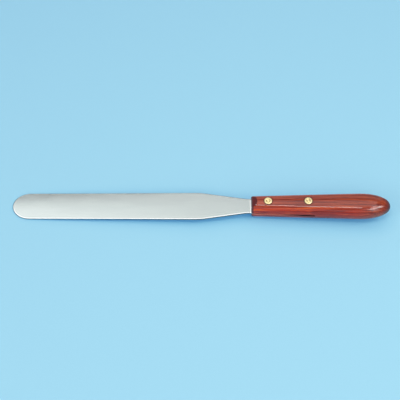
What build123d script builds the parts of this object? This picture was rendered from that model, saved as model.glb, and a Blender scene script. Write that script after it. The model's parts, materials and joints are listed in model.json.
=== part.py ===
from build123d import *

import math
import os

# A palette knife: a taper-ground steel blade whose tang is pinned in the sawn slot of a wooden handle.
#
# X runs along the knife, from the blade's tip at -X to the handle's butt at +X, Y runs across the
# blade, and Z up through its thickness. The origin is under the middle of the knife, level with the
# undersides of the lower burrs. Sizes are in millimetres.

# Blade, from its tip to the front of the handle, and the tang behind it.
BLADE_LENGTH = 200.0
WIDTH_AT_TIP = 25.2
WIDTH_AT_SHOULDER = 26.5
TIP_LENGTH = 14.5
SHOULDER_LENGTH = 42.5
SHOULDER_RADIUS = 50.0
NECK_WIDTH = 14.2
NECK_LENGTH = 4.0
NECK_RADIUS = 20.0
TANG_LENGTH = 51.0
TANG_CORNER_RADIUS = 3.0

# Thicknesses: the blade is ground thinner towards its tip, and rises to the tang by a short ramp.
TIP_THICKNESS = 0.9
ROOT_THICKNESS = 1.25
TANG_THICKNESS = 1.6
RAMP_LENGTH = 1.0
EDGE_CHAMFER = 0.15

# Handle, from its front end to its widest place, the belly, and on over the rounded butt.
HANDLE_LENGTH = 117.0
BUTT_LENGTH = 25.0
FRONT_WIDTH = 15.2
BELLY_WIDTH = 21.8
HANDLE_HEIGHT = 17.1
SWELL_POWER = 1.1
BUTT_POWER = 0.88
SECTION_FULLNESS = 0.69
BODY_SPANS = 4
BUTT_SPANS = 8
BEVEL_LENGTH = 5.0
BEVEL_DEPTH = 1.7
FRONT_CHAMFER = 0.9
SLOT_RUNOUT = 2.0

# Rivets: a pin peened at both ends over a washer, the burr, that is let into the wood.
RIVET_SETBACKS = {"front": 14.0, "rear": 47.6}
PIN_DIAMETER = 2.0
HEAD_DIAMETER = 2.3
HEAD_RIM = 0.1
BURR_DIAMETER = 6.5
BURR_THICKNESS = 1.4
BURR_STAND = 0.3
BURR_ROUNDING = 0.35
DISH_DIAMETER = 3.7
DISH_DEPTH = 0.3
CLEARANCE = 0.05

# Places that follow from the sizes. Every piece is drawn about the knife's centre line, which lies
# above the origin by half the handle's height and as much as a burr stands proud of the wood.
TIP_X = -(BLADE_LENGTH + HANDLE_LENGTH) / 2
FRONT_X = TIP_X + BLADE_LENGTH
BUTT_X = FRONT_X + HANDLE_LENGTH
BELLY_X = BUTT_X - BUTT_LENGTH
BURR_FACE = HANDLE_HEIGHT / 2 + BURR_STAND
BURR_SEAT = BURR_FACE - BURR_THICKNESS
CENTRE_LINE = Pos(0, 0, BURR_FACE)
UPPER_AND_LOWER = {"top": Rot(), "bottom": Rot(X=180)}


def pin_hole(rivet_x):
    """A cutter for a pin's hole through the whole knife."""
    return Pos(rivet_x, 0, 0) * Cylinder(PIN_DIAMETER / 2 + CLEARANCE, 2 * HANDLE_HEIGHT)


def blade_outline():
    """The blade and tang seen from above: a round tip, long shoulders and a neck."""
    side = FilletPolyline(
        (TIP_X + TIP_LENGTH, WIDTH_AT_TIP / 2),
        (FRONT_X - SHOULDER_LENGTH, WIDTH_AT_SHOULDER / 2),
        (FRONT_X - NECK_LENGTH, NECK_WIDTH / 2),
        (FRONT_X + TANG_LENGTH, NECK_WIDTH / 2),
        (FRONT_X + TANG_LENGTH, 0),
        radius=[SHOULDER_RADIUS, NECK_RADIUS, TANG_CORNER_RADIUS],
    )
    tip = EllipticalCenterArc(
        center=(TIP_X + TIP_LENGTH, 0),
        x_radius=TIP_LENGTH,
        y_radius=WIDTH_AT_TIP / 2,
        start_angle=90,
        arc_size=180,
    )
    other_side = mirror(side, about=Plane.XZ)
    return make_face([tip, *side.edges(), *other_side.edges()])


def blade_profile():
    """The blade and tang seen from the side: a long taper, a ramp and the even tang."""
    upper = [
        (TIP_X, TIP_THICKNESS / 2),
        (FRONT_X - RAMP_LENGTH, ROOT_THICKNESS / 2),
        (FRONT_X, TANG_THICKNESS / 2),
        (FRONT_X + TANG_LENGTH, TANG_THICKNESS / 2),
    ]
    lower = [(x, -z) for x, z in reversed(upper)]
    return Plane.XZ * make_face(Polyline(*upper, *lower, close=True))


def make_blade():
    """The blade with its tang, its flats' rims eased, drilled for the pins."""
    plate = extrude(blade_outline(), amount=TANG_THICKNESS, both=True)
    blade = plate & extrude(blade_profile(), amount=WIDTH_AT_SHOULDER, both=True)
    flats = blade.faces().sort_by(SortBy.AREA)[-2:]
    blade = chamfer(flats.edges().filter_by(Axis.Y, reverse=True), EDGE_CHAMFER)
    for setback in RIVET_SETBACKS.values():
        blade -= pin_hole(FRONT_X + setback)
    return blade


def handle_section(x, width, height):
    """A cross-section of the handle at x: four quarters, each fuller than an ellipse's."""
    a = width / 2
    b = height / 2
    k = SECTION_FULLNESS
    quarters = [
        Bezier((a, 0), (a, k * b), (k * a, b), (0, b)),
        Bezier((0, b), (-k * a, b), (-a, k * b), (-a, 0)),
        Bezier((-a, 0), (-a, -k * b), (-k * a, -b), (0, -b)),
        Bezier((0, -b), (k * a, -b), (a, -k * b), (a, 0)),
    ]
    return Plane(origin=(x, 0, 0), x_dir=(0, 1, 0), z_dir=(1, 0, 0)) * make_face(quarters)


def handle_form():
    """The handle's outer form: one loft from the front to the belly, and one on over the butt."""
    body = []
    for step in range(BODY_SPANS + 1):
        part_way = step / BODY_SPANS
        x = FRONT_X + (BELLY_X - FRONT_X) * part_way
        width = BELLY_WIDTH - (BELLY_WIDTH - FRONT_WIDTH) * (1 - part_way) ** SWELL_POWER
        body.append(handle_section(x, width, HANDLE_HEIGHT))
    butt = []
    for step in range(BUTT_SPANS):
        angle = math.radians(90) * step / BUTT_SPANS
        x = BELLY_X + BUTT_LENGTH * math.sin(angle)
        shrink = math.cos(angle) ** BUTT_POWER
        butt.append(handle_section(x, BELLY_WIDTH * shrink, HANDLE_HEIGHT * shrink))
    return loft(body) + loft([*butt, Vertex(BUTT_X, 0, 0)])


def front_bevel():
    """A cutter for the bevel on the upper side of the handle's front end."""
    top = HANDLE_HEIGHT / 2
    wedge = Polyline(
        (FRONT_X, top - BEVEL_DEPTH),
        (FRONT_X + BEVEL_LENGTH, top),
        (FRONT_X + BEVEL_LENGTH, HANDLE_HEIGHT),
        (FRONT_X, HANDLE_HEIGHT),
        close=True,
    )
    return extrude(Plane.XZ * make_face(wedge), amount=BELLY_WIDTH, both=True)


def burr_pocket(rivet_x):
    """A cutter for the pocket that lets a burr into the handle's upper side."""
    radius = BURR_DIAMETER / 2 + CLEARANCE
    pocket = Cylinder(radius, HANDLE_HEIGHT, align=(Align.CENTER, Align.CENTER, Align.MIN))
    return Pos(rivet_x, 0, BURR_SEAT) * pocket


def make_handle():
    """The handle: bevelled and chamfered at the front, slotted for the tang, bored for the rivets."""
    handle = handle_form()
    for side in UPPER_AND_LOWER.values():
        handle -= side * front_bevel()
    handle = chamfer(handle.faces().sort_by(Axis.X)[0].edges(), FRONT_CHAMFER)
    slot = Box(TANG_LENGTH + SLOT_RUNOUT, 2 * BELLY_WIDTH, TANG_THICKNESS)
    handle -= Pos(FRONT_X + (TANG_LENGTH + SLOT_RUNOUT) / 2, 0, 0) * slot
    for setback in RIVET_SETBACKS.values():
        handle -= pin_hole(FRONT_X + setback)
        for side in UPPER_AND_LOWER.values():
            handle -= side * burr_pocket(FRONT_X + setback)
    return handle


def make_pin(rivet_x):
    """A rivet pin: a straight shank with a low domed head spread on each end, level with its burr."""
    shoulder = BURR_FACE - DISH_DEPTH
    head_radius = HEAD_DIAMETER / 2
    outline = Polyline(
        (0, BURR_FACE),
        (0, 0),
        (PIN_DIAMETER / 2, 0),
        (PIN_DIAMETER / 2, shoulder),
        (head_radius, shoulder),
        (head_radius, shoulder + HEAD_RIM),
    )
    dome = TangentArc((0, BURR_FACE), (head_radius, shoulder + HEAD_RIM), tangent=(1, 0))
    half = revolve(Plane.XZ * make_face([*outline.edges(), dome]), Axis.Z)
    return Pos(rivet_x, 0, 0) * (half + mirror(half, about=Plane.XY))


def make_burr(rivet_x):
    """The upper burr of a rivet: a washer with a rounded rim, dished round the pin's head."""
    outer = BURR_DIAMETER / 2
    inner = PIN_DIAMETER / 2 + CLEARANCE
    outline = Polyline(
        (outer - BURR_ROUNDING, BURR_THICKNESS),
        (DISH_DIAMETER / 2, BURR_THICKNESS),
        (DISH_DIAMETER / 2 - DISH_DEPTH, BURR_THICKNESS - DISH_DEPTH),
        (inner, BURR_THICKNESS - DISH_DEPTH),
        (inner, 0),
        (outer, 0),
        (outer, BURR_THICKNESS - BURR_ROUNDING),
    )
    rim = RadiusArc(outline @ 1, outline @ 0, -BURR_ROUNDING)
    burr = revolve(Plane.XZ * make_face([*outline.edges(), rim]), Axis.Z)
    return Pos(rivet_x, 0, BURR_SEAT) * burr


def make_parts():
    """Every piece of the knife, by node name."""
    parts = {"blade": make_blade(), "handle": make_handle()}
    for place, setback in RIVET_SETBACKS.items():
        rivet_x = FRONT_X + setback
        parts[f"{place}_rivet_pin"] = make_pin(rivet_x)
        for level, side in UPPER_AND_LOWER.items():
            parts[f"{place}_{level}_burr"] = side * make_burr(rivet_x)
    return parts


os.makedirs("parts", exist_ok=True)
for node, piece in make_parts().items():
    export_step(CENTRE_LINE * piece, f"parts/{node}.step")
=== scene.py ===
"""A palette knife lying on a pale blue table: the visual model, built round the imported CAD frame.

Everything is in metres, in the CAD's own frame: X runs from the blade's tip to the handle's butt, Y
across the blade, and Z up through its thickness.
"""
import json
import math

import bmesh
import bpy
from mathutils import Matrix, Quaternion, Vector, noise


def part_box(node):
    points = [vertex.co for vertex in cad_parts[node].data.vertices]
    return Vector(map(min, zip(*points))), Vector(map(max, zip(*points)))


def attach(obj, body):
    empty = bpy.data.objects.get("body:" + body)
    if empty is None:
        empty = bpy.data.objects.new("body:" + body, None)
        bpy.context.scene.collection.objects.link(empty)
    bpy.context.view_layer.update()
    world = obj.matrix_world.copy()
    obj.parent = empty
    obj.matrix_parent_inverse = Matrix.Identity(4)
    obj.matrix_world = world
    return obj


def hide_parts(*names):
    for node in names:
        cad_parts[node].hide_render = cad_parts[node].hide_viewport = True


MM = 0.001

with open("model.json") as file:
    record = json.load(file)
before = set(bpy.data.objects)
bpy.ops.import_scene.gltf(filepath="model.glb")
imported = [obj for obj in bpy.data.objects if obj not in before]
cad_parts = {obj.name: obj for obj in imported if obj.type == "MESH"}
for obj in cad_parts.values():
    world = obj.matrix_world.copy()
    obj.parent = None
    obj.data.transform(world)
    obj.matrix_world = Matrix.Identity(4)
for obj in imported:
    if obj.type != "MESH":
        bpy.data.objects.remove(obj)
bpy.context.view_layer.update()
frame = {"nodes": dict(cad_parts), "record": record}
blade_low, blade_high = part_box("blade")
handle_low, handle_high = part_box("handle")

# Places read from the CAD: the ends of the blade with its tang, the ends of the handle, and the height
# of the knife's centre line.
TIP_X = blade_low.x
TANG_END_X = blade_high.x
FRONT_X = handle_low.x
BUTT_X = handle_high.x
CENTRE_Z = (handle_low.z + handle_high.z) / 2

# The blade's outline and thicknesses, which the CAD blade has too. The blends round its corners.
WIDTH_AT_TIP = 25.2 * MM
WIDTH_AT_SHOULDER = 26.5 * MM
TIP_LENGTH = 14.5 * MM
SHOULDER_LENGTH = 42.5 * MM
SHOULDER_BLEND = 0.66 * MM
NECK_WIDTH = 14.2 * MM
NECK_LENGTH = 4.0 * MM
NECK_BLEND = 0.25 * MM
TANG_CORNER_RADIUS = 3.0 * MM
TIP_THICKNESS = 0.9 * MM
ROOT_THICKNESS = 1.25 * MM
TANG_THICKNESS = 1.6 * MM
RAMP_LENGTH = 1.0 * MM

# What only the looks add to the blade: a broad rounding on its upper edge with a painted highlight, a
# small one on its lower edge with painted shade, an upper face crowned towards the tip, and a painted
# highlight on the ramp.
EDGE_REACH = 0.90 * MM
EDGE_DROP = 0.15 * MM
LOWER_EDGE_RADIUS = 0.12 * MM
CROWN_AT_TIP = 0.20 * MM
RAMP_HIGHLIGHT = 0.42

# How finely the blade is divided, as points along each stretch. The shoulder's closer points start a
# little before it, and the ramp's two corners are each held by a pair of points.
TIP_POINTS = 28
SIDE_POINTS = 50
SHOULDER_POINTS = 44
SHOULDER_LEAD = 5.0 * MM
RAMP_CORNER = 0.1 * MM
TANG_POINTS = 12
TANG_CORNER_POINTS = 8
FACE_POINTS = 21
UPPER_EDGE_POINTS = 7
LOWER_EDGE_POINTS = 4

# The rivets' burrs and pins, as the CAD has them. Heights are from the knife's centre line. The burrs'
# faces are its highest and lowest places, so they are as far from that line as it is from the origin.
BURR_FACE = CENTRE_Z
BURR_RADIUS = 3.25 * MM
BURR_THICKNESS = 1.4 * MM
BURR_ROUNDING = 0.35 * MM
BURR_HOLE_RADIUS = 1.05 * MM
DISH_RADIUS = 1.85 * MM
DISH_DEPTH = 0.3 * MM
HEAD_RADIUS = 1.15 * MM
HEAD_RIM = 0.1 * MM
SHANK_RADIUS = 1.0 * MM

# What only the looks add to the rivets: softened lips, crowned burrs, and the hammer's marks, which are
# broad facets with shallower and finer dents in them. Their pattern is shifted one way for upper burrs
# and the other way for lower ones, so that the two differ.
DISH_LIP = 0.1 * MM
HEAD_BULGE = 0.03 * MM
BURR_CROWN = 0.06 * MM
HAMMER_MARK = 0.045 * MM
FACET_SIZE = 0.9 * MM
FACET_SHARE = 1.6
DENT_SHARE = 0.3
DENTS_PER_FACET = 2.7
PATTERN_SHIFT = 10 * MM
RIVET_SEGMENTS = 96
RIVET_CURVE_POINTS = 7
RIVET_HEAD_POINTS = 8

# The table is laid through the blade's tip and the lower bevel's rear corner. The knife would really rest
# on its front lower burr, which stands about 0.02 mm into the table.
BEVEL_LENGTH = 5.0 * MM

# The saw slot runs on past the tang. Its walls are told from the wood round them by this much.
SLOT_RUNOUT = 2.0 * MM
SLOT_TOLERANCE = 0.02 * MM

# Points closer than this become one.
WELD = 0.002 * MM


# --- Shader building ---------------------------------------------------------------------------


class Shader:
    """A material's node tree, with short ways to add the nodes that the finishes share."""

    def __init__(self, name):
        self.material = bpy.data.materials.new(name)
        self.material.use_nodes = True
        self.tree = self.material.node_tree
        self.surface = self.tree.nodes["Principled BSDF"]
        self.place = self.add("ShaderNodeTexCoord").outputs["Object"]

    def feed(self, socket, value):
        """Links a socket to another node's output, or sets it to a plain value."""
        if isinstance(value, bpy.types.NodeSocket):
            self.tree.links.new(value, socket)
        else:
            socket.default_value = value

    def add(self, kind, inputs=None, **settings):
        """A new node with its settings made, and its inputs fed by name or number."""
        node = self.tree.nodes.new(kind)
        for name, value in settings.items():
            setattr(node, name, value)
        for name, value in (inputs or {}).items():
            self.feed(node.inputs[name], value)
        return node

    def finish(self, **inputs):
        """Sets the surface's own sockets, such as Base_Color, and returns the material."""
        for name, value in inputs.items():
            self.feed(self.surface.inputs[name.replace("_", " ")], value)
        return self.material

    def stretched(self, per_metre, turn=(0, 0, 0), vector=None):
        """The object's own coordinates, scaled to so many features per metre each way."""
        inputs = {"Vector": vector or self.place, "Scale": per_metre, "Rotation": turn}
        return self.add("ShaderNodeMapping", inputs).outputs["Vector"]

    def noise(self, vector, detail=2.0, roughness=0.5):
        inputs = {"Vector": vector, "Scale": 1.0, "Detail": detail, "Roughness": roughness}
        return self.add("ShaderNodeTexNoise", inputs).outputs["Fac"]

    def math(self, operation, *values):
        node = self.add("ShaderNodeMath", dict(enumerate(values)), operation=operation)
        return node.outputs["Value"]

    def weighted(self, *terms):
        """The sum of (weight, value) terms."""
        total = 0.0
        for weight, value in terms:
            total = self.math("MULTIPLY_ADD", value, weight, total)
        return total

    def remap(self, value, low, high, to_low=0.0, to_high=1.0):
        """Maps low..high to to_low..to_high, and holds the result between those."""
        inputs = {"Value": value, "From Min": low, "From Max": high, "To Min": to_low, "To Max": to_high}
        return self.add("ShaderNodeMapRange", inputs).outputs["Result"]

    def split(self, vector):
        """A vector's x, y and z."""
        node = self.add("ShaderNodeSeparateXYZ", {"Vector": vector})
        return node.outputs["X"], node.outputs["Y"], node.outputs["Z"]

    def join(self, x=0.0, y=0.0, z=0.0):
        return self.add("ShaderNodeCombineXYZ", {"X": x, "Y": y, "Z": z}).outputs["Vector"]

    def ramp(self, factor, stops):
        """A colour ramp from a list of (position, (r, g, b)) stops."""
        node = self.add("ShaderNodeValToRGB", {"Fac": factor})
        elements = node.color_ramp.elements
        while len(elements) < len(stops):
            elements.new(0.5)
        for element, (position, color) in zip(elements, stops):
            element.position = position
            element.color = (*color, 1.0)
        return node.outputs["Color"]

    def mix(self, factor, first, second, blend_type="MIX"):
        """Two colours mixed. The node's inputs 6 and 7 and its output 2 are the ones for colours."""
        node = self.add("ShaderNodeMix", data_type="RGBA", blend_type=blend_type)
        for index, value in ((0, factor), (6, first), (7, second)):
            if isinstance(value, tuple):
                value = (*value, 1.0)
            self.feed(node.inputs[index], value)
        return node.outputs[2]

    def scaled(self, color, factor):
        node = self.add("ShaderNodeVectorMath", {0: color, "Scale": factor}, operation="SCALE")
        return node.outputs["Vector"]

    def attribute(self, name):
        return self.add("ShaderNodeAttribute", attribute_name=name).outputs["Fac"]

    def bump(self, height, distance):
        inputs = {"Height": height, "Distance": distance, "Strength": 1.0}
        return self.add("ShaderNodeBump", inputs).outputs["Normal"]


# --- Finishes ----------------------------------------------------------------------------------

# Steel: the two tones of its grinding, its scratches, and its edges' painted highlight and painted shade.
DULL_STEEL = (0.505, 0.555, 0.545)
BRIGHT_STEEL = (0.570, 0.625, 0.610)
SCRATCHED_STEEL = (0.80, 0.80, 0.78)
HIGHLIGHT_STEEL = (1.0, 1.0, 0.98)
EDGE_PAINTED_SHADE = (0.05, 0.06, 0.07)

# Rosewood: the grain's colours by its tone, browner on the handle's top and butt and redder and brighter
# on its sides as painted light, and then the colours of what lies over the grain, some of them painted
# shade.
TOP_GRAIN = [
    (0.40, (0.120, 0.014, 0.010)),
    (0.46, (0.220, 0.030, 0.014)),
    (0.52, (0.300, 0.043, 0.018)),
    (0.59, (0.400, 0.075, 0.024)),
]
LIT_SIDE_GRAIN = [
    (0.40, (0.160, 0.008, 0.005)),
    (0.46, (0.280, 0.016, 0.006)),
    (0.52, (0.395, 0.025, 0.007)),
    (0.60, (0.640, 0.094, 0.014)),
]
INK_LINE = (0.10, 0.012, 0.014)
OPEN_PORE = (0.055, 0.010, 0.010)
END_GRAIN_AND_SHADE = (0.060, 0.011, 0.015)
RIVET_SHADE = (0.060, 0.016, 0.006)
SLOT_FRONT = (0.55, 0.16, 0.12)
SLOT_SHADE = (0.03, 0.006, 0.005)

# The grain wanders this far up and down.
GRAIN_SWAY = 2.5 * MM

# The wood has its sides' colours, painted brighter as painted light, up to this far from the centre line,
# and its top's from this far on.
SIDE_HEIGHT = 5.5 * MM
TOP_HEIGHT = 8.0 * MM

# The top's colours begin to take over the sides this far before the butt's end, and have done so here.
BUTT_START = 30 * MM
BUTT_END = 12 * MM

# The front's end grain is dark, and painted shade runs on behind the edge this far, over the bevels this
# far, and fades.
FRONT_EDGE_SHADE = 1.6 * MM
BEVEL_EDGE_SHADE = 4.1 * MM
EDGE_SHADE_FADE = 0.4 * MM

# The slot's walls are fresh for this length from the front, and darkened with painted shade for this
# length before its end.
SLOT_FRESH = 26 * MM
SLOT_DARK = 10 * MM

# The painted shade round a rivet is full this far from the burr's rim, and has faded this far from it.
RING_FULL = 0.5 * MM
RING_FADED = 1.0 * MM

# Brass: its two tones, and the brown of its hollows.
DULL_BRASS = (0.88, 0.68, 0.32)
BRIGHT_BRASS = (0.98, 0.84, 0.48)
BROWNED_BRASS = (0.40, 0.29, 0.12)

# How high the finishes' bumps are.
GRIND_DEPTH = 0.002 * MM
PORE_DEPTH = 0.012 * MM
PEEN_DEPTH = 0.03 * MM

# The table: its two tones, the painted shadow that multiplies them where the knife lies close over it, and
# its glow.
DARK_PAPER = (0.254, 0.422, 0.400)
LIGHT_PAPER = (0.268, 0.440, 0.420)
PAPER_IN_SHADOW = (0.55, 0.80, 0.93)
SHADOW_REACH = 18 * MM
PAPER_GLOW = (0.0, 0.31, 1.0, 1.0)


def steel_finish():
    """Satin steel: finely ground across the blade, scratched along it, and painted brighter towards its
    tip as painted light.

    Its edge attribute paints a highlight where it is above 0, and paints shade where it is below.
    """
    shader = Shader("satin_steel")
    along, _, _ = shader.split(shader.place)
    grind = shader.noise(shader.stretched((3800, 120, 120)), detail=3)
    cloud = shader.noise(shader.stretched((40, 110, 110)))
    tone = shader.weighted((0.35, grind), (0.65, cloud))
    color = shader.ramp(tone, [(0.3, DULL_STEEL), (0.7, BRIGHT_STEEL)])
    # Painted light: brighter towards the tip and darker towards the handle.
    color = shader.scaled(color, shader.remap(along, TIP_X, FRONT_X, 1.06, 0.88))

    scratch = shader.noise(shader.stretched((16, 2600, 2600), turn=(0, 0, 0.02)))
    scratch = shader.remap(scratch, 0.66, 0.74)
    color = shader.mix(shader.math("MULTIPLY", scratch, 0.12), color, SCRATCHED_STEEL)

    # Painted highlight and painted shade on the blade's edges and ramp, from the mesh's attribute.
    painted_edge_light = shader.attribute("painted_edge_light")
    color = shader.mix(shader.math("MAXIMUM", painted_edge_light, 0.0), color, HIGHLIGHT_STEEL)
    edge_shade = shader.math("MAXIMUM", shader.math("MULTIPLY", painted_edge_light, -0.85), 0.0)
    color = shader.mix(edge_shade, color, EDGE_PAINTED_SHADE)
    return shader.finish(
        Base_Color=color,
        Metallic=1.0,
        Roughness=shader.remap(tone, 0.3, 0.7, 0.19, 0.24),
        Normal=shader.bump(shader.weighted((1.0, grind), (-0.6, scratch)), GRIND_DEPTH),
    )


def swaying_place(shader):
    """Coordinates that wander slowly up and down along the handle, as the grain does."""
    sway = shader.noise(shader.stretched((22, 90, 90)), detail=1)
    sway = shader.math("MULTIPLY", shader.math("SUBTRACT", sway, 0.5), GRAIN_SWAY)
    inputs = {0: shader.place, 1: shader.join(y=sway, z=sway)}
    return shader.add("ShaderNodeVectorMath", inputs, operation="ADD").outputs["Vector"]


def grain_color(shader, tone, along, off_centre):
    """The grain's colours: two ramps, one for the top and the butt, and one for the sides painted brighter
    and redder as painted light.
    """
    rise = shader.remap(off_centre, SIDE_HEIGHT, TOP_HEIGHT)
    butt = shader.remap(along, BUTT_X - BUTT_START, BUTT_X - BUTT_END)
    # The sides' ramp is painted light: brighter and redder than the top's.
    lit_side_grain = shader.ramp(tone, LIT_SIDE_GRAIN)
    top_grain = shader.ramp(tone, TOP_GRAIN)
    color = shader.mix(shader.math("MAXIMUM", rise, butt), lit_side_grain, top_grain)
    return shader.scaled(color, shader.remap(along, FRONT_X, BUTT_X, 1.0, 0.78))


def ink_lines(shader, place):
    """Where the wood has thin dark lines: along the middle values of a noise."""
    ink = shader.noise(shader.stretched((5, 330, 300), vector=place), detail=1)
    from_middle = shader.math("ABSOLUTE", shader.math("SUBTRACT", ink, 0.5))
    return shader.remap(from_middle, 0.0, 0.02, 0.7, 0.0)


def end_grain_and_shade(shader, along):
    """Where the wood is dark: both ends, end grain with painted shade, and behind the front edge with
    painted shade, furthest on top and underneath.
    """
    normal = shader.add("ShaderNodeNewGeometry").outputs["Normal"]
    facing, _, upright = shader.split(normal)
    front_end = shader.remap(facing, -0.10, -0.34, 0.0, 0.90)
    butt_end = shader.remap(facing, 0.35, 0.70, 0.0, 0.95)
    upright = shader.math("ABSOLUTE", upright)
    # Painted shade behind the front edge.
    shade_end = shader.remap(upright, 0.82, 0.90, FRONT_X + FRONT_EDGE_SHADE, FRONT_X + BEVEL_EDGE_SHADE)
    faded = shader.math("ADD", shade_end, EDGE_SHADE_FADE)
    painted_shade = shader.remap(along, shade_end, faded, 0.80, 0.0)
    return shader.math("MAXIMUM", shader.math("MAXIMUM", front_end, butt_end), painted_shade)


def with_slot_walls(shader, color, along, off_centre):
    """The colour with the slot's walls laid over it: fresh at the front, painted shade towards the slot's
    end.
    """
    slot_end_x = TANG_END_X + SLOT_RUNOUT
    level = shader.math("LESS_THAN", off_centre, TANG_THICKNESS / 2 + SLOT_TOLERANCE)
    before_end = shader.math("LESS_THAN", along, slot_end_x + SLOT_TOLERANCE)
    depth = shader.remap(along, FRONT_X + SLOT_FRESH, slot_end_x - SLOT_DARK)
    # Painted shade deep in the slot.
    walls = shader.mix(depth, SLOT_FRONT, SLOT_SHADE)
    return shader.mix(shader.math("MULTIPLY", level, before_end), color, walls)


def with_rivet_shade(shader, color, along, across, rivet_places):
    """The colour with a ring of painted shade laid over it round each rivet."""
    flat = shader.join(along, across)
    for rivet_x in rivet_places:
        inputs = {0: flat, 1: (rivet_x, 0, 0)}
        away = shader.add("ShaderNodeVectorMath", inputs, operation="DISTANCE").outputs["Value"]
        # A ring of painted shade round the burr.
        painted_shade = shader.remap(away, BURR_RADIUS + RING_FULL, BURR_RADIUS + RING_FADED, 0.9, 0.0)
        color = shader.mix(painted_shade, color, RIVET_SHADE)
    return color


def wood_finish(rivet_places):
    """Varnished rosewood: streaks of bands and fibres, ink lines, open pores, dark end grain with painted
    shade on its ends and front edge, the slot's bare walls with painted shade, and painted shade round the
    rivets."""
    shader = Shader("varnished_rosewood")
    along, across, up = shader.split(shader.place)
    off_centre = shader.math("ABSOLUTE", shader.math("SUBTRACT", up, CENTRE_Z))
    swaying = swaying_place(shader)

    band = shader.noise(shader.stretched((9, 190, 260), vector=swaying))
    streak = shader.noise(shader.stretched((26, 1150, 640), vector=swaying), roughness=0.6)
    fibre = shader.noise(shader.stretched((45, 3600, 3000), vector=swaying))
    tone = shader.weighted((0.28, band), (0.44, streak), (0.28, fibre))
    pore = shader.noise(shader.stretched((170, 3900, 3900)), detail=1)
    pore = shader.remap(pore, 0.64, 0.74)

    color = grain_color(shader, tone, along, off_centre)
    color = shader.mix(ink_lines(shader, swaying), color, INK_LINE)
    color = shader.mix(shader.math("MULTIPLY", pore, 0.75), color, OPEN_PORE)
    color = shader.mix(end_grain_and_shade(shader, along), color, END_GRAIN_AND_SHADE)
    color = with_slot_walls(shader, color, along, off_centre)
    color = with_rivet_shade(shader, color, along, across, rivet_places)
    return shader.finish(
        Base_Color=color,
        Roughness=shader.remap(tone, 0.35, 0.65, 0.45, 0.34),
        Specular_IOR_Level=0.12,
        Coat_Weight=0.8,
        Coat_Roughness=0.10,
        Coat_IOR=1.5,
        Normal=shader.bump(shader.weighted((0.25, fibre), (-1.0, pore)), PORE_DEPTH),
    )


def brass_finish():
    """Peened brass: mottled, and browned where the attribute hollow says."""
    shader = Shader("peened_brass")
    mottle = shader.noise(shader.stretched((900, 900, 900)), detail=3)
    fine = shader.noise(shader.stretched((6000, 6000, 6000)))
    color = shader.ramp(mottle, [(0.3, DULL_BRASS), (0.7, BRIGHT_BRASS)])
    hollow = shader.math("MULTIPLY", shader.attribute("hollow"), 0.7)
    return shader.finish(
        Base_Color=shader.mix(hollow, color, BROWNED_BRASS),
        Metallic=1.0,
        Roughness=shader.remap(fine, 0.3, 0.7, 0.24, 0.38),
        Normal=shader.bump(mottle, PEEN_DEPTH),
    )


def paper_finish():
    """Pale blue paper, for the table. A painted shadow darkens it towards blue where the knife lies close
    over it.
    """
    shader = Shader("pale_blue_paper")
    fibre = shader.noise(shader.stretched((900, 900, 900)), detail=3)
    color = shader.ramp(fibre, [(0.2, DARK_PAPER), (0.8, LIGHT_PAPER)])
    # Painted shadow near the knife.
    occlusion = shader.add("ShaderNodeAmbientOcclusion", {"Distance": SHADOW_REACH}, samples=12)
    painted_shadow = shader.mix(occlusion.outputs["AO"], PAPER_IN_SHADOW, (1.0, 1.0, 1.0))
    return shader.finish(
        Base_Color=shader.mix(1.0, color, painted_shadow, blend_type="MULTIPLY"),
        Roughness=0.85,
        Specular_IOR_Level=0.15,
        Emission_Color=PAPER_GLOW,
        Emission_Strength=0.30,
    )


# --- Meshes ------------------------------------------------------------------------------------


def evenly(first, last, count):
    """That many places from first to last, with both."""
    return [first + (last - first) * step / (count - 1) for step in range(count)]


def between(value, low, high):
    """How far value is from low to high, held between 0 and 1."""
    return min(1.0, max(0.0, (value - low) / (high - low)))


def smooth_least(first, second, blend):
    """The lesser of two values, with the corner between them rounded."""
    overlap = max(blend - abs(first - second), 0.0) / blend
    return min(first, second) - overlap * overlap * blend / 4


def new_piece(mesh, material):
    """A piece of that mesh and material, with the mesh's name."""
    piece = bpy.data.objects.new(mesh.name, mesh)
    mesh.materials.append(material)
    bpy.context.scene.collection.objects.link(piece)
    return piece


def ring_mesh(name, attribute, rings, loops=False, capped=False):
    """A closed, smooth mesh over rings of (x, y, z, value) points, which keeps value as an attribute.

    With loops, the last ring is joined to the first again. With capped, a face closes the last ring. Any
    other end ring has shrunk to a point or a line, so the mesh is closed there when its points are welded.
    """
    mesh = bmesh.new()
    layer = mesh.verts.layers.float.new(attribute)
    rows = []
    for ring in rings:
        row = []
        for x, y, z, value in ring:
            vertex = mesh.verts.new((x, y, z))
            vertex[layer] = value
            row.append(vertex)
        rows.append(row)
    if loops:
        rows.append(rows[0])
    for row, following in zip(rows, rows[1:]):
        for index in range(len(row)):
            after = (index + 1) % len(row)
            mesh.faces.new((row[index], row[after], following[after], following[index]))
    if capped:
        mesh.faces.new(rows[-1])
    bmesh.ops.remove_doubles(mesh, verts=mesh.verts, dist=WELD)
    bmesh.ops.dissolve_degenerate(mesh, edges=mesh.edges, dist=WELD)
    bmesh.ops.recalc_face_normals(mesh, faces=mesh.faces)
    for face in mesh.faces:
        face.smooth = True
    data = bpy.data.meshes.new(name)
    mesh.to_mesh(data)
    mesh.free()
    return data


# --- The blade ---------------------------------------------------------------------------------

SHOULDER_X = FRONT_X - SHOULDER_LENGTH
NECK_X = FRONT_X - NECK_LENGTH
RAMP_X = FRONT_X - RAMP_LENGTH


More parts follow.
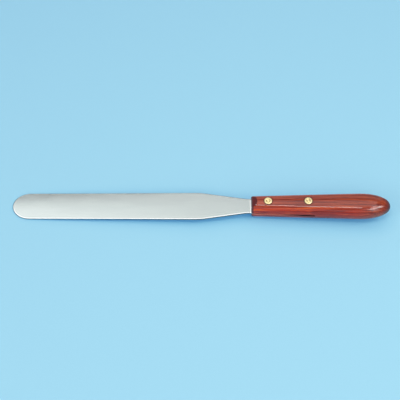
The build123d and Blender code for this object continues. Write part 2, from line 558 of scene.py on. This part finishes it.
def blade_half_width(x):
    """Half the blade's width at x, behind the round of the tip."""
    along_side = (x - TIP_X - TIP_LENGTH) / (SHOULDER_X - TIP_X - TIP_LENGTH)
    side = WIDTH_AT_TIP + (WIDTH_AT_SHOULDER - WIDTH_AT_TIP) * along_side
    along_shoulder = (x - SHOULDER_X) / (NECK_X - SHOULDER_X)
    shoulder = WIDTH_AT_SHOULDER + (NECK_WIDTH - WIDTH_AT_SHOULDER) * along_shoulder
    half = smooth_least(side / 2, shoulder / 2, SHOULDER_BLEND)
    return -smooth_least(-half, -NECK_WIDTH / 2, NECK_BLEND)


def blade_half_thickness(x):
    """Half the blade's thickness at x, along its middle."""
    ground = TIP_THICKNESS + (ROOT_THICKNESS - TIP_THICKNESS) * between(x, TIP_X, RAMP_X)
    return (ground + (TANG_THICKNESS - ROOT_THICKNESS) * between(x, RAMP_X, FRONT_X)) / 2


def blade_stations():
    """(x, half width) down one side of the blade and tang, from the middle of the tip."""
    stations = []
    for angle in evenly(0, math.radians(90), TIP_POINTS):
        x = TIP_X + TIP_LENGTH * (1 - math.cos(angle))
        stations.append((x, WIDTH_AT_TIP / 2 * math.sin(angle)))
    fine_x = SHOULDER_X - SHOULDER_LEAD
    along = evenly(TIP_X + TIP_LENGTH, fine_x, SIDE_POINTS)[1:]
    along += evenly(fine_x, RAMP_X - 2 * RAMP_CORNER, SHOULDER_POINTS)[1:]
    for corner_x in (RAMP_X, FRONT_X):
        along += [corner_x - RAMP_CORNER, corner_x + RAMP_CORNER]
    along += evenly(FRONT_X + 2 * RAMP_CORNER, TANG_END_X - TANG_CORNER_RADIUS, TANG_POINTS)
    stations += [(x, blade_half_width(x)) for x in along]
    for angle in evenly(0, math.radians(90), TANG_CORNER_POINTS)[1:]:
        x = TANG_END_X - TANG_CORNER_RADIUS * (1 - math.sin(angle))
        stations.append((x, NECK_WIDTH / 2 - TANG_CORNER_RADIUS * (1 - math.cos(angle))))
    return stations


def outward_normals(stations):
    """The outline's outward direction at each station, from its neighbours: straight ahead at the tip."""
    normals = []
    for index in range(len(stations)):
        before = stations[max(index - 1, 0)]
        after = stations[min(index + 1, len(stations) - 1)]
        run = Vector((after[0] - before[0], after[1] - before[1]))
        normals.append(Vector((-run.y, run.x)).normalized())
    normals[0] = Vector((-1.0, 0.0))
    return normals


def edge_rounding(rim, half_thickness):
    """(inset from the outline, height, painted light) down the blade's edge, from its upper face.

    The painted light falls from nearly 1, a painted highlight, by the upper face to -1, painted shade, on
    the wall and below it.
    """
    rounding = []
    for turn in evenly(0, math.radians(90), UPPER_EDGE_POINTS)[1:]:
        height = rim - EDGE_DROP * (1 - math.cos(turn))
        rounding.append((EDGE_REACH * (1 - math.sin(turn)), height, math.cos(2 * turn)))
    for turn in evenly(0, math.radians(90), LOWER_EDGE_POINTS):
        height = LOWER_EDGE_RADIUS * (1 - math.sin(turn)) - half_thickness
        rounding.append((LOWER_EDGE_RADIUS * (1 - math.cos(turn)), height, -1.0))
    return rounding


def blade_ring(x, half_width, outward):
    """One closed ring of (x, y, z, painted light) points round the blade.

    It runs over the crowned upper face, down the near edge, back along the lower face and up the far edge.
    """
    half_thickness = blade_half_thickness(x)
    crown = CROWN_AT_TIP * between(x, SHOULDER_X, TIP_X)
    crown *= (2 * half_width / WIDTH_AT_TIP) ** 2
    rim = half_thickness - crown
    ring = []

    def add_point(inset, across, height, painted_edge_light):
        point_x = x - outward.x * inset
        y = across * max(half_width - outward.y * inset, 0.0)
        # The ramp's upper side takes a painted highlight, and the tang none.
        if RAMP_X < point_x < FRONT_X and height > 0:
            painted_edge_light = RAMP_HIGHLIGHT
        elif point_x >= FRONT_X:
            painted_edge_light = 0.0
        ring.append((point_x, y, CENTRE_Z + height, painted_edge_light))

    rounding = edge_rounding(rim, half_thickness)
    face = [math.sin(turn) for turn in evenly(math.radians(90), math.radians(-90), FACE_POINTS)]
    for across in face:
        add_point(EDGE_REACH, across, rim + crown * (1 - across ** 2), 0.0)
    for inset, height, painted_edge_light in rounding:
        add_point(inset, -1, height, painted_edge_light)
    for across in face[1:-1]:
        add_point(LOWER_EDGE_RADIUS, -across, -half_thickness, 0.0)
    for inset, height, painted_edge_light in reversed(rounding):
        add_point(inset, 1, height, painted_edge_light)
    return ring


def make_blade(material):
    """The blade and tang: rings of quads from the tip to the tang's end."""
    stations = blade_stations()
    rings = []
    for (x, half_width), outward in zip(stations, outward_normals(stations)):
        rings.append(blade_ring(x, half_width, outward))
    # The blade keeps its edges' painted highlight and painted shade as an attribute.
    return new_piece(ring_mesh("steel_blade", "painted_edge_light", rings, capped=True), material)


# --- The rivets --------------------------------------------------------------------------------


def hammer_marks(x, y, upward):
    """The height of the hammer's marks at a place on a rivet, from 0 down to about -1."""
    place = Vector((x, y, PATTERN_SHIFT * upward)) / FACET_SIZE
    facet = min(0.0, noise.noise(place))
    dent = min(0.0, noise.noise(place * DENTS_PER_FACET))
    return FACET_SHARE * facet + DENT_SHARE * dent


def lathe(name, profile, centre_x, upward):
    """The mesh of a turned piece about an upright axis, its struck face marked by the hammer.

    The profile runs from the axis or bore round to it again, as (radius, height, hollow, struck):
    hollow darkens the brass, and struck is how much of the hammer's marks the point takes.
    """
    rings = []
    for radius, height, hollow, struck in profile:
        ring = []
        for segment in range(RIVET_SEGMENTS):
            angle = math.tau * segment / RIVET_SEGMENTS
            x = centre_x + radius * math.cos(angle)
            y = radius * math.sin(angle)
            mark = HAMMER_MARK * struck * hammer_marks(x, y, upward)
            ring.append((x, y, CENTRE_Z + upward * (height + mark), hollow))
        rings.append(ring)
    return ring_mesh(name, "hollow", rings, loops=profile[0][0] > 0)


def burr_profile():
    """A burr's section: a washer with a low crown and a rounded rim, dished round the pin's head."""
    seat = BURR_FACE - BURR_THICKNESS
    floor = BURR_FACE - DISH_DEPTH
    points = [
        (BURR_HOLE_RADIUS, seat, 1.0, 0.0),
        (BURR_HOLE_RADIUS, floor, 1.0, 0.0),
        (DISH_RADIUS - DISH_DEPTH, floor, 1.0, 0.4),
        (DISH_RADIUS - 1.2 * DISH_LIP, BURR_FACE - 1.2 * DISH_LIP, 0.8, 0.7),
        (DISH_RADIUS - 0.2 * DISH_LIP, BURR_FACE - 0.2 * DISH_LIP, 0.3, 1.0),
        (DISH_RADIUS + DISH_LIP, BURR_FACE, 0.0, 1.0),
    ]
    rim_start = BURR_RADIUS - BURR_ROUNDING
    for radius in evenly(DISH_RADIUS + 2 * DISH_LIP, rim_start, RIVET_CURVE_POINTS):
        fall = BURR_CROWN * between(radius, DISH_RADIUS, rim_start) ** 2
        points.append((radius, BURR_FACE - fall, 0.0, 1.0))
    for turn in evenly(0, math.radians(90), RIVET_CURVE_POINTS)[1:]:
        radius = rim_start + BURR_ROUNDING * math.sin(turn)
        fall = BURR_CROWN + (BURR_ROUNDING - BURR_CROWN) * (1 - math.cos(turn))
        points.append((radius, BURR_FACE - fall, 0.0, math.cos(turn)))
    points.append((BURR_RADIUS, seat, 0.6, 0.0))
    return points


def pin_profile():
    """A pin's section from the middle of its upper head to the middle of its lower one."""
    shoulder = BURR_FACE - DISH_DEPTH
    upper = []
    for step in evenly(0, 1, RIVET_HEAD_POINTS):
        fall = (DISH_DEPTH - HEAD_RIM) * step ** 3
        upper.append((HEAD_RADIUS * step, BURR_FACE - fall, 0.25 * step, 1.0))
    upper.append((HEAD_RADIUS + HEAD_BULGE, shoulder + HEAD_RIM / 2, 0.6, 0.0))
    upper.append((HEAD_RADIUS, shoulder, 1.0, 0.0))
    upper.append((SHANK_RADIUS, shoulder, 1.0, 0.0))
    lower = [(radius, -height, hollow, -struck) for radius, height, hollow, struck in reversed(upper)]
    return upper + lower


# --- Stage, light and camera -------------------------------------------------------------------

# The camera looks down at the knife from its near side, and the view is this wide where it is aimed.
CAMERA_ELEVATION = math.radians(56)
CAMERA_DISTANCE = 0.95
FRAME_WIDTH = 0.3375
SENSOR_WIDTH = 36.0
AIM = Vector((-1.4 * MM, 6.4 * MM, CENTRE_Z))

# The room's dim light: one colour up to the first height, and the other from the second height up, with
# each height the sine of its elevation.
HORIZON_LIGHT = (0.30, 0.32, 0.34)
ZENITH_LIGHT = (0.03, 0.04, 0.05)
HORIZON_HEIGHT = 0.30
ZENITH_HEIGHT = 0.55

# How far the table reaches each way.
TABLE_REACH = 4.0


def look_at(thing, target, roll=0.0):
    """Turns a camera or light to a target, and puts it in the scene."""
    aim = (target - thing.location).to_track_quat("-Z", "Y")
    thing.rotation_mode = "QUATERNION"
    thing.rotation_quaternion = aim @ Quaternion((0, 0, 1), roll)
    bpy.context.scene.collection.objects.link(thing)


def make_camera():
    data = bpy.data.cameras.new("camera")
    data.sensor_width = SENSOR_WIDTH
    data.lens = SENSOR_WIDTH * CAMERA_DISTANCE / FRAME_WIDTH
    camera = bpy.data.objects.new("camera", data)
    back = Vector((0, -math.cos(CAMERA_ELEVATION), math.sin(CAMERA_ELEVATION)))
    camera.location = AIM + back * CAMERA_DISTANCE
    look_at(camera, AIM)
    bpy.context.scene.camera = camera


def make_floor(material):
    """The table top, through the blade's tip and the lower bevel's rear corner. The knife lies square in
    this frame, so it is the table that leans."""
    tip_underside = CENTRE_Z - TIP_THICKNESS / 2
    contact_x = FRONT_X + BEVEL_LENGTH
    lean = math.atan2(tip_underside - handle_low.z, contact_x - TIP_X)
    corners = [(x * TABLE_REACH, y * TABLE_REACH, 0) for x, y in ((-1, -1), (1, -1), (1, 1), (-1, 1))]
    mesh = bpy.data.meshes.new("table_top")
    mesh.from_pydata(corners, [], [(0, 1, 2, 3)])
    floor = new_piece(mesh, material)
    floor.location = (TIP_X, 0, tip_underside)
    floor.rotation_euler = (0, lean, 0)


def make_softbox(name, place, size, radiance, roll=0.0):
    """A rectangular light aimed at the knife, with its roll in degrees. Its radiance is what a perfect
    mirror would show."""
    data = bpy.data.lights.new(name, "AREA")
    data.shape = "RECTANGLE"
    data.size, data.size_y = size
    data.energy = radiance * math.pi * size[0] * size[1]
    light = bpy.data.objects.new(name, data)
    light.location = place
    look_at(light, Vector((0, 0, CENTRE_Z)), math.radians(roll))


def make_world():
    """Dim light from all round: one colour overhead, and a brighter one low down near the walls."""
    world = bpy.data.worlds.new("studio")
    world.use_nodes = True
    nodes = world.node_tree.nodes
    direction = nodes.new("ShaderNodeTexCoord").outputs["Generated"]
    height = nodes.new("ShaderNodeSeparateXYZ")
    blend = nodes.new("ShaderNodeValToRGB")
    low, high = blend.color_ramp.elements
    low.position = HORIZON_HEIGHT
    low.color = (*HORIZON_LIGHT, 1.0)
    high.position = ZENITH_HEIGHT
    high.color = (*ZENITH_LIGHT, 1.0)
    links = world.node_tree.links
    links.new(direction, height.inputs["Vector"])
    links.new(height.outputs["Z"], blend.inputs["Fac"])
    links.new(blend.outputs["Color"], nodes["Background"].inputs["Color"])
    bpy.context.scene.world = world


make_camera()
make_floor(paper_finish())
make_world()
bpy.context.scene.view_settings.view_transform = "Standard"

# Each softbox has its place, its size and its radiance, and some a roll in degrees. The blade's flat
# mirrors the overhead one. The near bank draws most of the line of light along the handle's near
# shoulder. The ones to the right light the handle's near side and make the streak on its butt.
make_softbox("overhead", (0.0, 0.37, 1.12), (1.5, 0.77), 1.5)
make_softbox("far_bank", (0.0, 1.30, 0.90), (2.4, 0.6), 0.75)
make_softbox("near_bank", (0.0, -0.24, 1.15), (0.62, 0.15), 11.0)
make_softbox("front_fill", (0.0, -1.20, 0.70), (2.0, 0.7), 1.0)
make_softbox("left_lamp", (-0.85, -0.70, 0.70), (0.5, 0.4), 7.2)
make_softbox("left_bank", (-0.95, -0.40, 0.80), (0.5, 0.4), 2.9)
make_softbox("right_lamp", (0.70, -0.28, 1.05), (0.95, 0.32), 5.0, roll=15)
make_softbox("right_bank", (0.62, -0.55, 1.00), (0.5, 0.3), 3.6)
make_softbox("right_strip", (0.93, -0.04, 0.96), (0.52, 0.24), 8.5, roll=-15)
make_softbox("front_corner", (0.71, -0.77, 0.59), (0.4, 0.4), 2.5)


# --- Putting it together -----------------------------------------------------------------------

rivet_places = []
for place in ("front", "rear"):
    low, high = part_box(f"{place}_rivet_pin")
    rivet_places.append((low.x + high.x) / 2)

steel = steel_finish()
rosewood = wood_finish(rivet_places)
brass = brass_finish()
finishes = {"blade_steel": steel, "rosewood": rosewood, "brass": brass}
for row in frame["record"]["subparts"]:
    node = frame["nodes"][row["node"]]
    node.data.materials.clear()
    node.data.materials.append(finishes[row["material_slot"]])

blade = make_blade(steel)
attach(blade, "root")
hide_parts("blade")

for place, rivet_x in zip(("front", "rear"), rivet_places):
    pin = new_piece(lathe(f"{place}_peened_pin", pin_profile(), rivet_x, 1), brass)
    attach(pin, "root")
    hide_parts(f"{place}_rivet_pin")
    for level, upward in (("top", 1), ("bottom", -1)):
        burr = new_piece(lathe(f"{place}_{level}_struck_burr", burr_profile(), rivet_x, upward), brass)
        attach(burr, "root")
        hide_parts(f"{place}_{level}_burr")
